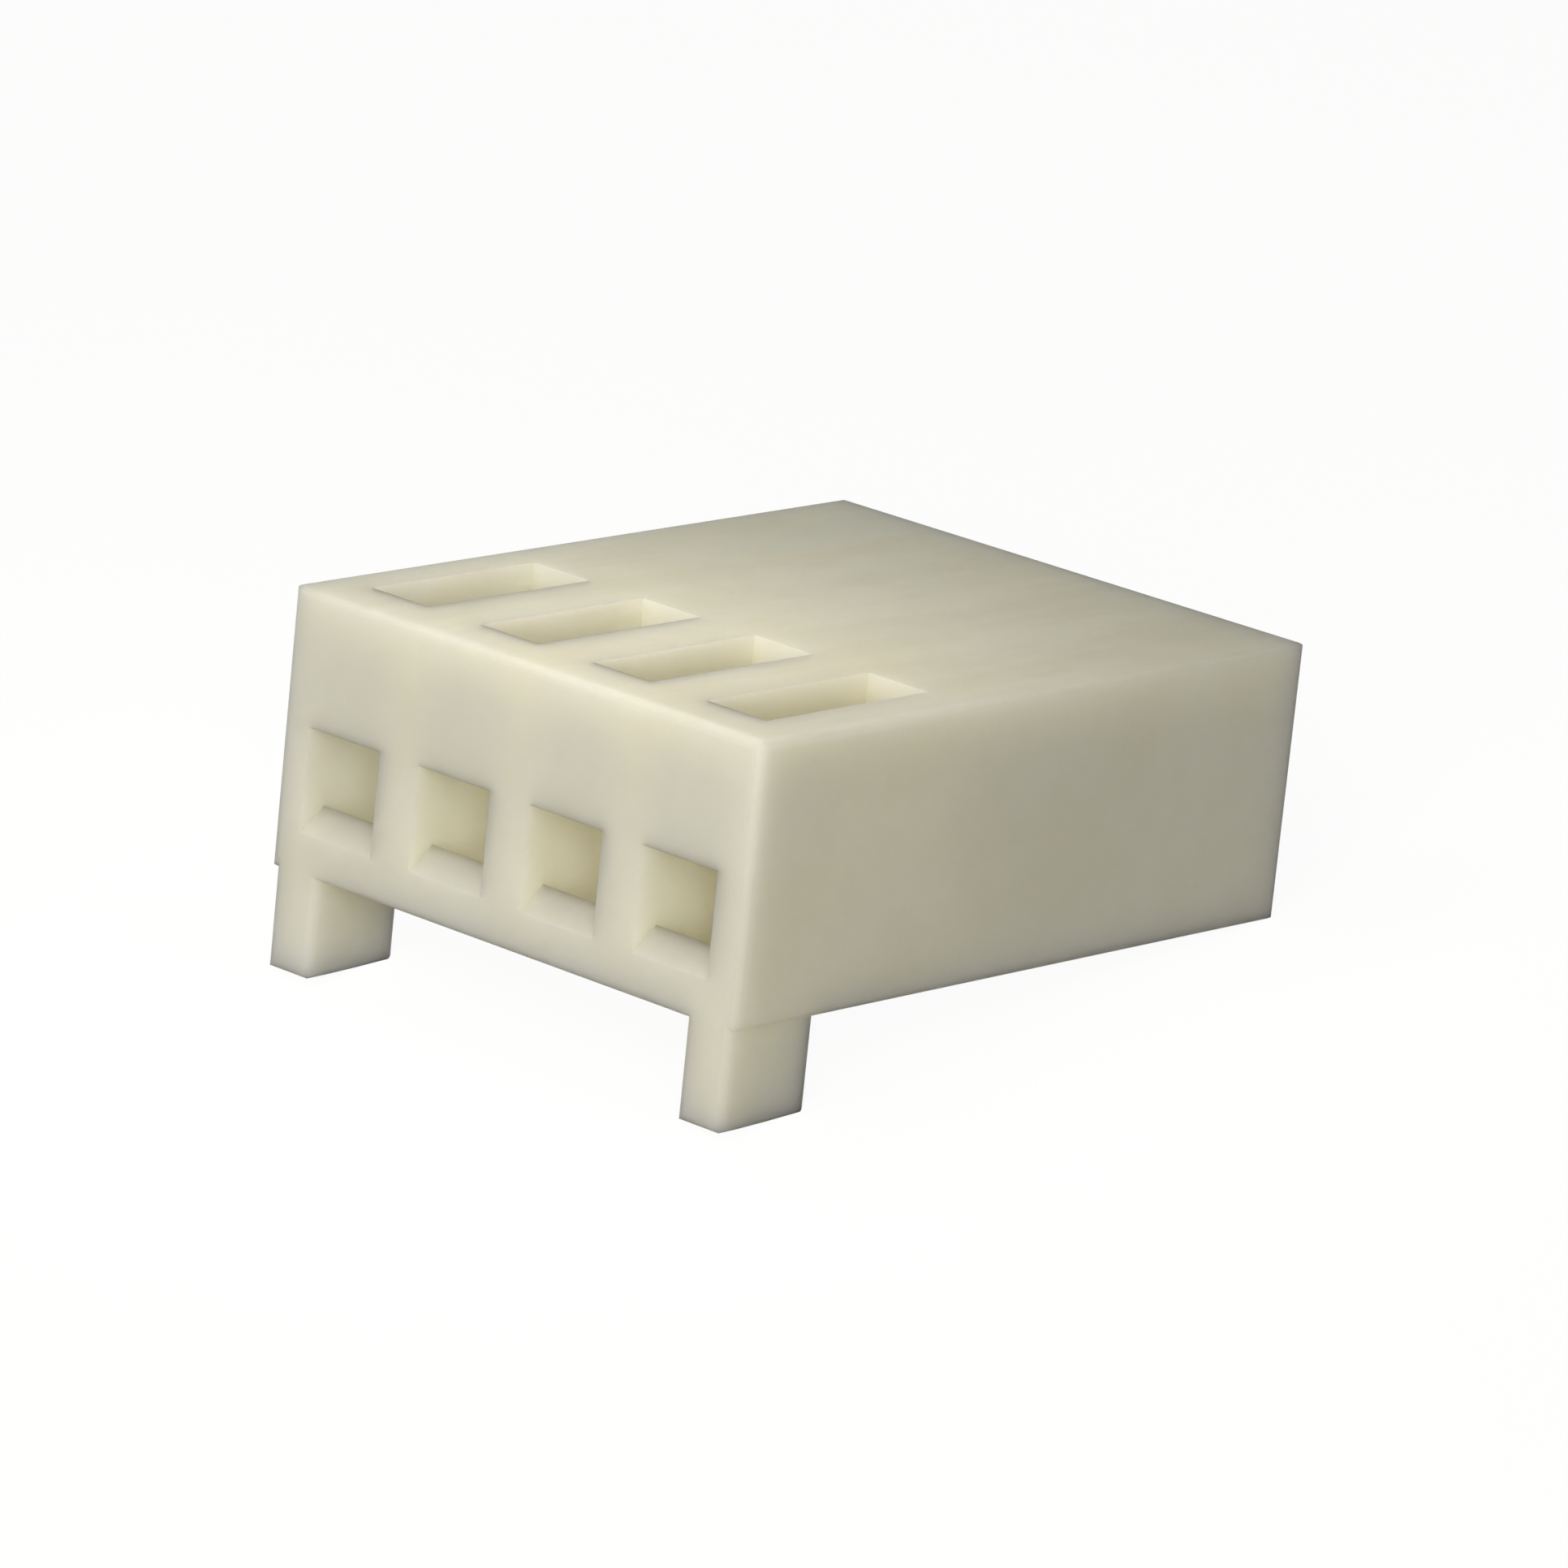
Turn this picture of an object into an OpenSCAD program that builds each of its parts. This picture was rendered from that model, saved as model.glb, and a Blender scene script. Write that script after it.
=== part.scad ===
// Crimp terminal housing for a row of square header pins, moulded in one piece.
//
// Frame, in millimetres: the origin is on the flat mating face, in the middle of
// the row of pins. X runs along the row, +Y points back to where the wires leave,
// and +Z points up, away from the two polarising legs.

/* [Circuits] */
// Number of circuits in the row
circuits = 4; // [2:1:12]
// Distance from one circuit to the next
pitch = 2.54; // [2.5:0.01:3]
// Side of the square header pins
pin_w = 0.64; // [0.5:0.02:0.8]
// Room above and below a pin in its window
pin_clearance = 0.38; // [0.3:0.01:0.45]
// Width of the crimp terminals
terminal_w = 1.45; // [1.3:0.05:1.8]
// Room on each side of a terminal in its cavity
terminal_clearance = 0.1; // [0.04:0.01:0.15]

/* [Body] */
// Length of the body from the mating face to the wire end
body_l = 13.4; // [10:0.1:20]
// Height of the body without its legs
body_h = 4.85; // [4.2:0.05:7]
// Height of the pin row above the underside
row_h = 1.85; // [1.7:0.05:2.6]
// Thickness of the wall behind the mating face
front_wall = 0.5; // [0.4:0.05:0.9]
// Thickness of the wall above the cavities
top_wall = 0.8; // [0.5:0.05:1.2]
// Thickness of the wall below the cavities
bottom_wall = 0.6; // [0.5:0.05:0.8]
// Thickness of the wall beside each end cavity
end_wall = 0.675; // [0.4:0.025:1.5]
// Radius of the four upright edges
upright_r = 0.25; // [0.15:0.05:0.5]
// Radius of the level edges
level_r = 0.2; // [0.05:0.01:0.25]

/* [Pin windows] */
// How far the sill of each window slopes down to the mating face
sill_drop = 0.4; // [0.1:0.05:0.6]

/* [Lance windows] */
// Width of the windows in the top that the terminals' lances catch in
lance_w = 1.3; // [0.8:0.05:1.5]
// Length of these windows
lance_l = 3.8; // [2:0.1:5]
// Distance from the mating face to these windows
lance_y = 1.0; // [0.9:0.05:3]

/* [Wire mouths] */
// How far each cavity opens out at the wire end
mouth_flare = 0.2; // [0.05:0.01:0.25]
// How deep this flare is
mouth_depth = 0.5; // [0.2:0.05:1]

/* [Legs] */
// Width of each leg along the row
leg_w = 1.0; // [0.8:0.05:1.6]
// Length of each leg, back from the mating face
leg_l = 2.1; // [1.5:0.1:4]
// How far the legs reach below the body
leg_h = 1.7; // [1:0.1:3]
// How far the legs stand in from the sides of the body
leg_inset = 0.11; // [0.05:0.01:0.5]
// Radius of the upright edges of the legs
leg_r = 0.25; // [0.1:0.05:0.35]
// Radius of the edges of the soles
sole_r = 0.15; // [0.05:0.01:0.2]
// How much shorter the legs are at the back of the sole
sole_rise = 0.12; // [0:0.02:0.3]
// How much the back of a leg leans in towards its sole
leg_draft = 0.05; // [0:0.01:0.15]

/* [Hidden] */

$fn = 48;

// How far a cut runs past the face that it opens
overcut = 1;
// How far a leg is sunk into the body that carries it
leg_root = 0.5;

window_h = pin_w + 2 * pin_clearance;
cavity_w = terminal_w + 2 * terminal_clearance;
row_w = (circuits - 1) * pitch;
body_w = row_w + cavity_w + 2 * end_wall;
underside_z = -row_h;
top_z = body_h - row_h;
cavity_floor_z = underside_z + bottom_wall;
cavity_roof_z = top_z - top_wall;
cavity_middle_z = (cavity_floor_z + cavity_roof_z) / 2;
cavity_h = cavity_roof_z - cavity_floor_z;
leg_x = body_w / 2 - leg_inset - leg_w / 2;

function unit(v) = v / norm(v);

// Half of the angle between the two sides that meet at corner i
function half_angle(points, i) =
    let (
        n = len(points),
        to_last = unit(points[(i + n - 1) % n] - points[i]),
        to_next = unit(points[(i + 1) % n] - points[i])
    )
    acos(to_last * to_next) / 2;

// Where the arc of radius r meets the side that runs from corner i to corner j
function arc_end(points, r, i, j) =
    points[i] + unit(points[j] - points[i]) * r / tan(half_angle(points, i));

// Centre of the arc of radius r that rounds corner i
function arc_centre(points, r, i) =
    let (
        n = len(points),
        to_last = unit(points[(i + n - 1) % n] - points[i]),
        to_next = unit(points[(i + 1) % n] - points[i])
    )
    points[i] + unit(to_last + to_next) * r / sin(half_angle(points, i));

// Convex outline with true arcs at its corners, one radius for each corner
module rounded_outline(points, radii) {
    n = len(points);
    polygon([
        for (i = [0 : n - 1], back = [true, false])
            arc_end(points, radii[i], i, back ? (i + n - 1) % n : (i + 1) % n)
    ]);
    for (i = [0 : n - 1])
        translate(arc_centre(points, radii[i], i)) circle(r = radii[i]);
}

// Upright prism from a plan outline
module from_above(z0, z1)
    translate([0, 0, z0]) linear_extrude(z1 - z0) children();

// Prism along X from an outline drawn as [y, z]
module from_side(x0, x1)
    translate([x0, 0, 0]) rotate([90, 0, 90]) linear_extrude(x1 - x0) children();

// Prism along Y from an outline drawn as [x, z]
module from_front(y0, y1)
    translate([0, y1, 0]) rotate([90, 0, 0]) linear_extrude(y1 - y0) children();

// Rectangle from corner a to corner b with rounded corners
module rounded_box_outline(a, b, r)
    rounded_outline([a, [b.x, a.y], b, [a.x, b.y]], [r, r, r, r]);

module body_block() {
    half_w = body_w / 2;
    intersection() {
        from_above(underside_z, top_z)
            rounded_box_outline([-half_w, 0], [half_w, body_l], upright_r);
        from_front(0, body_l)
            rounded_box_outline([-half_w, underside_z], [half_w, top_z], level_r);
        from_side(-half_w, half_w)
            rounded_box_outline([0, underside_z], [body_l, top_z], level_r);
    }
}

// One polarising leg, centred on x = 0
module leg() {
    half_w = leg_w / 2;
    sole_z = underside_z - leg_h;
    root_z = underside_z + leg_root;
    intersection() {
        from_above(sole_z, root_z)
            rounded_box_outline([-half_w, 0], [half_w, leg_l], leg_r);
        from_front(0, leg_l)
            rounded_box_outline([-half_w, sole_z], [half_w, root_z + sole_r], sole_r);
        from_side(-half_w, half_w)
            rounded_outline(
                [
                    [0, sole_z],
                    [leg_l - leg_draft, sole_z + sole_rise],
                    [leg_l, root_z + sole_r],
                    [0, root_z + sole_r]
                ],
                [sole_r, sole_r, sole_r, sole_r]
            );
    }
}

// Way for one pin through the front wall, as wide as the cavity behind it, with a
// sill that slopes down to the mating face
module pin_window() {
    half_h = window_h / 2;
    back_y = front_wall + overcut;
    // the slope of the sill, carried on past the mating face
    drop = sill_drop * (1 + overcut / front_wall);
    from_side(-cavity_w / 2, cavity_w / 2)
        polygon([
            [-overcut, -half_h - drop],
            [front_wall, -half_h],
            [back_y, -half_h],
            [back_y, half_h],
            [-overcut, half_h]
        ]);
}

// Outline of a cavity from its front end to the flared mouth at the wire end
module cavity_outline(half_size) {
    flare_y = body_l - mouth_depth;
    // the slope of the flare, carried on past the wire end
    spread = mouth_flare * (1 + overcut / mouth_depth);
    polygon([
        [-half_size, front_wall],
        [half_size, front_wall],
        [half_size, flare_y],
        [half_size + spread, body_l + overcut],
        [-half_size - spread, body_l + overcut],
        [-half_size, flare_y]
    ]);
}

// Cavity for one terminal, open at the wire end
module terminal_cavity() {
    reach = pitch + body_h;
    translate([0, 0, cavity_middle_z])
        intersection() {
            from_above(-reach, reach) cavity_outline(cavity_w / 2);
            from_side(-reach, reach)
                mirror([1, -1]) cavity_outline(cavity_h / 2);
        }
}

// Window through the top wall that the lance of one terminal catches in
module lance_window()
    translate([-lance_w / 2, lance_y, cavity_roof_z - overcut])
        cube([lance_w, lance_l, top_wall + 2 * overcut]);

module housing()
    color("#d5d0b9")
        difference() {
            union() {
                body_block();
                for (side = [-1, 1]) translate([side * leg_x, 0, 0]) leg();
            }
            for (i = [0 : circuits - 1])
                translate([i * pitch - row_w / 2, 0, 0]) {
                    pin_window();
                    terminal_cavity();
                    lance_window();
                }
        }

housing();
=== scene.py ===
"""Looks of a one-piece crimp terminal housing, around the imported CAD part.

Everything is in metres in the row frame: the origin is on the mating face in the
middle of the row of pins, X runs along the row, +Y points back to the wire end,
and +Z points up, away from the two polarising legs.
"""

import math
from contextlib import contextmanager

import bmesh
import bpy
from mathutils import Matrix, Vector


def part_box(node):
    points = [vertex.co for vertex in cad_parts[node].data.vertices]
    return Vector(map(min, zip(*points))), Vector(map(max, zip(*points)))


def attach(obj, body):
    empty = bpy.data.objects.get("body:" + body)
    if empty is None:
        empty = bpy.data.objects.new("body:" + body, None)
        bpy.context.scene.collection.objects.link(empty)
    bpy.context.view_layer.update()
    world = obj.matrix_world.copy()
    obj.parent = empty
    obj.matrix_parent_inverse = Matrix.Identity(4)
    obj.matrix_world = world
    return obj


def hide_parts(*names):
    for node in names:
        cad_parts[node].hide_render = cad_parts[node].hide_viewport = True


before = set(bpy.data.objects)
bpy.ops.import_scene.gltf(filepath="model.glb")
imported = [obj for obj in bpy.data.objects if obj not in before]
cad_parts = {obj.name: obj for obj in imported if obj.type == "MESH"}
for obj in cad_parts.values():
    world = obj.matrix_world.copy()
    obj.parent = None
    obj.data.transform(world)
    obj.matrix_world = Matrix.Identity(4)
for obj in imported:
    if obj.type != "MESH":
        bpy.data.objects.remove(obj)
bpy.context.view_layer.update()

MM = 0.001
NODE = "housing"
BODY = "root"

# Camera, from the outline of the housing in the photograph
AIM = Vector((0.044, 6.551, 0.081)) * MM
CAMERA_DISTANCE = 158.39 * MM
CAMERA_AZIMUTH = math.radians(41.46)
CAMERA_ELEVATION = math.radians(15.14)
CAMERA_ROLL = math.radians(5.88)
LENS = 218.9
SENSOR = 36.0
# Nearest and farthest things that the camera sees, as shares of its distance
CLIP_START = 0.05
CLIP_END = 100.0

# Mesh work: points closer than MERGE are one point, faces that meet at less than
# FLAT are one face, and edges sharper than SHARP are rounded by RIM
MERGE = 0.0005 * MM
FLAT = math.radians(0.5)
SHARP = math.radians(40)
RIM = 0.05 * MM
RIM_SEGMENTS = 3

# Nylon: linear colour, how much the colour varies each way, and light below the surface
NYLON = (0.92, 0.89, 0.73)
TINT_SWING = 0.035
NYLON_IOR = 1.53
SCATTER_RADIUS = (1.0, 0.95, 0.8)
SCATTER_SCALE = 1.8 * MM
# Its patterns, in waves per metre
MOTTLE = 450.0
FLOW = 1300.0
GLOSS = 1400.0
GRAIN = 6000.0
# Waves of the flow lines along the body for each wave across it
FLOW_STRETCH = 0.12
# The part of the pattern's range over which the colour changes
TINT_SPAN = (0.35, 0.65)
ROUGHNESS = (0.5, 0.66)
GRAIN_STRENGTH = 0.35
GRAIN_DEPTH = 0.01 * MM

# Half of the floor's side, its colour under the lamps, and the strength at which it shows
FLOOR_HALF = 2.0
PAPER = (0.1, 0.1, 0.1)
PAPER_GLOW = 0.945

# The world's even light
AMBIENT = (0.04, 0.04, 0.037)

# Lamps that stand well away from the part
FAR = 220 * MM
FILL_SIZE = 50 * MM
FILL_COLOUR = (1.0, 0.97, 0.9)


def linked(name, data):
    """A new object in the scene."""
    obj = bpy.data.objects.new(name, data)
    bpy.context.scene.collection.objects.link(obj)
    return obj


@contextmanager
def welded(mesh):
    """The mesh as a bmesh without double points, written back at the end."""
    shape = bmesh.new()
    shape.from_mesh(mesh)
    bmesh.ops.remove_doubles(shape, verts=shape.verts, dist=MERGE)
    yield shape
    shape.to_mesh(mesh)
    shape.free()


def make_camera():
    """A camera at the photograph's viewing angle."""
    back = Vector(
        (
            math.sin(CAMERA_AZIMUTH) * math.cos(CAMERA_ELEVATION),
            -math.cos(CAMERA_AZIMUTH) * math.cos(CAMERA_ELEVATION),
            math.sin(CAMERA_ELEVATION),
        )
    )
    data = bpy.data.cameras.new("camera")
    data.sensor_width = SENSOR
    data.lens = LENS
    data.clip_start = CAMERA_DISTANCE * CLIP_START
    data.clip_end = CAMERA_DISTANCE * CLIP_END
    camera = linked("camera", data)
    upright = (-back).to_track_quat("-Z", "Y").to_matrix()
    turned = upright @ Matrix.Rotation(CAMERA_ROLL, 3, "Z")
    camera.matrix_world = Matrix.Translation(AIM + back * CAMERA_DISTANCE) @ turned.to_4x4()
    bpy.context.scene.camera = camera


def resting_line(mesh):
    """The two points [y, z] that the part rests on, from the lower side of its outline seen along X.

    They are the ends of the edge of the lower hull that lies under the middle of the part.
    """
    digits = 7
    seen = sorted({(round(v.co.y, digits), round(v.co.z, digits)) for v in mesh.vertices})
    lower = []
    for p in seen:
        while len(lower) > 1:
            a, b = lower[-2], lower[-1]
            turn = (b[0] - a[0]) * (p[1] - a[1]) - (b[1] - a[1]) * (p[0] - a[0])
            if turn > 0:
                break
            lower.pop()
        lower.append(p)
    middle = (seen[0][0] + seen[-1][0]) / 2
    for a, b in zip(lower, lower[1:]):
        if a[0] <= middle <= b[0]:
            return a, b
    raise ValueError("the outline has no edge under its middle")


def make_floor(mesh):
    """A sheet of paper under the part, which stands on its legs and its rear bottom edge."""
    (y0, z0), (y1, z1) = resting_line(mesh)
    along = Vector((0, y1 - y0, z1 - z0)).normalized()
    across = Vector((1, 0, 0))
    middle = Vector((0, (y0 + y1) / 2, (z0 + z1) / 2))
    corners = [
        middle + across * sx * FLOOR_HALF + along * sy * FLOOR_HALF
        for sx, sy in ((-1, -1), (1, -1), (1, 1), (-1, 1))
    ]
    data = bpy.data.meshes.new("floor")
    data.from_pydata([tuple(c) for c in corners], [], [(0, 1, 2, 3)])
    floor = linked("floor", data)
    data.materials.append(paper_material())


def new_material(name):
    """A material without nodes, and its node tree."""
    material = bpy.data.materials.new(name)
    material.use_nodes = True
    tree = material.node_tree
    tree.nodes.clear()
    return material, tree


def finish_material(tree, surface):
    """Show the surface on the material."""
    out = tree.nodes.new("ShaderNodeOutputMaterial")
    tree.links.new(surface, out.inputs["Surface"])


def calculated(tree, operation, *values):
    """The result of a Math node, from numbers and sockets."""
    node = tree.nodes.new("ShaderNodeMath")
    node.operation = operation
    for place, value in zip(node.inputs, values):
        if isinstance(value, bpy.types.NodeSocket):
            tree.links.new(value, place)
        else:
            place.default_value = value
    return node.outputs[0]


def noise(tree, place, scale, detail):
    """Noise from 0 to 1 at a place."""
    node = tree.nodes.new("ShaderNodeTexNoise")
    node.inputs["Scale"].default_value = scale
    node.inputs["Detail"].default_value = detail
    tree.links.new(place, node.inputs["Vector"])
    return node.outputs["Fac"]


def paper_material():
    """Pale paper that shows white where no shadow falls on it, and nothing from behind."""
    material, tree = new_material("paper")
    nodes, links = tree.nodes, tree.links
    path = nodes.new("ShaderNodeLightPath").outputs
    seen = path["Is Camera Ray"]
    for kind in ("Is Glossy Ray", "Is Transmission Ray"):
        seen = calculated(tree, "MAXIMUM", seen, path[kind])
    glow = nodes.new("ShaderNodeEmission")
    links.new(calculated(tree, "MULTIPLY", seen, PAPER_GLOW), glow.inputs["Strength"])
    diffuse = nodes.new("ShaderNodeBsdfDiffuse")
    diffuse.inputs["Color"].default_value = (*PAPER, 1)
    front = nodes.new("ShaderNodeAddShader")
    links.new(diffuse.outputs[0], front.inputs[0])
    links.new(glow.outputs[0], front.inputs[1])

    side = nodes.new("ShaderNodeNewGeometry").outputs
    clear = nodes.new("ShaderNodeBsdfTransparent")
    mix = nodes.new("ShaderNodeMixShader")
    hidden = calculated(tree, "MULTIPLY", side["Backfacing"], path["Is Camera Ray"])
    links.new(hidden, mix.inputs["Fac"])
    links.new(front.outputs[0], mix.inputs[1])
    links.new(clear.outputs[0], mix.inputs[2])
    finish_material(tree, mix.outputs[0])
    return material


def nylon_colour(tree, place):
    """A slight mottle, with flow lines along the body on the faces that look up."""
    mottle = noise(tree, place, MOTTLE, detail=3.0)
    stretch = tree.nodes.new("ShaderNodeMapping")
    stretch.inputs["Scale"].default_value = (1.0, FLOW_STRETCH, 1.0)
    tree.links.new(place, stretch.inputs["Vector"])
    flow = noise(tree, stretch.outputs["Vector"], FLOW, detail=3.0)
    swing = calculated(tree, "SUBTRACT", flow, 0.5)
    facing = tree.nodes.new("ShaderNodeNewGeometry")
    parts = tree.nodes.new("ShaderNodeSeparateXYZ")
    tree.links.new(facing.outputs["Normal"], parts.inputs["Vector"])
    upward = calculated(tree, "MAXIMUM", parts.outputs["Z"], 0.0)

    tint = tree.nodes.new("ShaderNodeValToRGB")
    for stop, position, change in zip(tint.color_ramp.elements, TINT_SPAN, (-TINT_SWING, TINT_SWING)):
        stop.position = position
        stop.color = (*[c * (1 + change) for c in NYLON], 1)
    pattern = calculated(tree, "MULTIPLY_ADD", swing, upward, mottle)
    tree.links.new(pattern, tint.inputs["Fac"])
    return tint.outputs["Color"]


def nylon_roughness(tree, place):
    """A satin that is duller in some places than in others."""
    rough = tree.nodes.new("ShaderNodeMapRange")
    rough.inputs["To Min"].default_value = ROUGHNESS[0]
    rough.inputs["To Max"].default_value = ROUGHNESS[1]
    tree.links.new(noise(tree, place, GLOSS, detail=2.0), rough.inputs["Value"])
    return rough.outputs["Result"]


def moulded_grain(tree, place):
    """The fine grain that the mould leaves, as a normal."""
    bump = tree.nodes.new("ShaderNodeBump")
    bump.inputs["Strength"].default_value = GRAIN_STRENGTH
    bump.inputs["Distance"].default_value = GRAIN_DEPTH
    tree.links.new(noise(tree, place, GRAIN, detail=3.0), bump.inputs["Height"])
    return bump.outputs["Normal"]


def nylon_material():
    """Natural nylon: translucent and satin."""
    material, tree = new_material("natural_nylon")
    shader = tree.nodes.new("ShaderNodeBsdfPrincipled")
    shader.inputs["Subsurface Weight"].default_value = 1.0
    shader.inputs["Subsurface Radius"].default_value = SCATTER_RADIUS
    shader.inputs["Subsurface Scale"].default_value = SCATTER_SCALE
    shader.inputs["IOR"].default_value = NYLON_IOR
    place = tree.nodes.new("ShaderNodeTexCoord").outputs["Object"]
    tree.links.new(nylon_colour(tree, place), shader.inputs["Base Color"])
    tree.links.new(nylon_roughness(tree, place), shader.inputs["Roughness"])
    tree.links.new(moulded_grain(tree, place), shader.inputs["Normal"])
    finish_material(tree, shader.outputs[0])
    return material


def round_rims(housing):
    """Round the sharp edges, leave no slivers behind, and stay within the solid's own extents."""
    low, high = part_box(NODE)
    rims = housing.modifiers.new("rims", "BEVEL")
    rims.width = RIM
    rims.segments = RIM_SEGMENTS
    rims.limit_method = "ANGLE"
    rims.angle_limit = SHARP
    dressed = bpy.data.meshes.new_from_object(
        housing.evaluated_get(bpy.context.evaluated_depsgraph_get())
    )
    housing.modifiers.clear()
    with welded(dressed) as shape:
        bmesh.ops.dissolve_degenerate(shape, dist=MERGE, edges=shape.edges)
        for vertex in shape.verts:
            vertex.co = [min(max(c, a), b) for c, a, b in zip(vertex.co, low, high)]
    housing.data = dressed


def make_housing(solid):
    """The moulded housing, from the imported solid, with its sharp rims slightly rounded."""
    data = solid.data.copy()
    data.name = "moulding"
    data.materials.clear()
    data.materials.append(nylon_material())
    with welded(data) as shape:
        bmesh.ops.dissolve_limit(shape, angle_limit=FLAT, verts=shape.verts, edges=shape.edges)
    housing = linked("moulding", data)
    round_rims(housing)
    for face in housing.data.polygons:
        face.use_smooth = True
    normals = housing.modifiers.new("normals", "WEIGHTED_NORMAL")
    normals.keep_sharp = False
    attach(housing, BODY)
    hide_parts(NODE)


def softbox(name, direction, distance, size, watts, colour=(1, 1, 1)):
    """A square lamp of a size and power, which shines at AIM from a direction and a distance."""
    data = bpy.data.lights.new(name, "AREA")
    data.shape = "SQUARE"
    data.size = size
    data.energy = watts
    data.color = colour
    lamp = linked(name, data)
    lamp.visible_camera = False
    away = Vector(direction).normalized()
    lamp.location = AIM + away * distance
    lamp.rotation_mode = "QUATERNION"
    lamp.rotation_quaternion = away.to_track_quat("Z", "Y")


def make_light():
    """Plain soft studio light."""
    world = bpy.data.worlds.new("studio")
    world.use_nodes = True
    background = world.node_tree.nodes["Background"]
    background.inputs["Color"].default_value = (*AMBIENT, 1)
    bpy.context.scene.world = world
    # the main light, from the front on the right
    softbox("key", (0.66, -1.0, 0.36), FAR, 160 * MM, 0.445, (1.0, 0.955, 0.84))
    # small lamps close above the front of the top, which is the lighter end in the photograph
    softbox("over", (-3.5, -5.2, 19.0), 20 * MM, 8 * MM, 0.00055, (0.9, 1.0, 0.88))
    softbox("near", (0.3, -5.3, 12.0), 13.5 * MM, 5 * MM, 0.00045, (1.0, 0.85, 0.68))
    # a weak one from the front on the left
    softbox("front", (-0.45, -1.0, 0.75), 55 * MM, 40 * MM, 0.0028)
    # low fill light on the sides that the photograph hides
    softbox("left", (-1.0, -0.1, 0.07), FAR, FILL_SIZE, 0.1, FILL_COLOUR)
    softbox("back", (-0.25, 1.0, 0.07), FAR, FILL_SIZE, 0.2, FILL_COLOUR)


make_camera()
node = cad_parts[NODE]
make_floor(node.data)
make_housing(node)
make_light()
bpy.context.scene.view_settings.view_transform = "Standard"
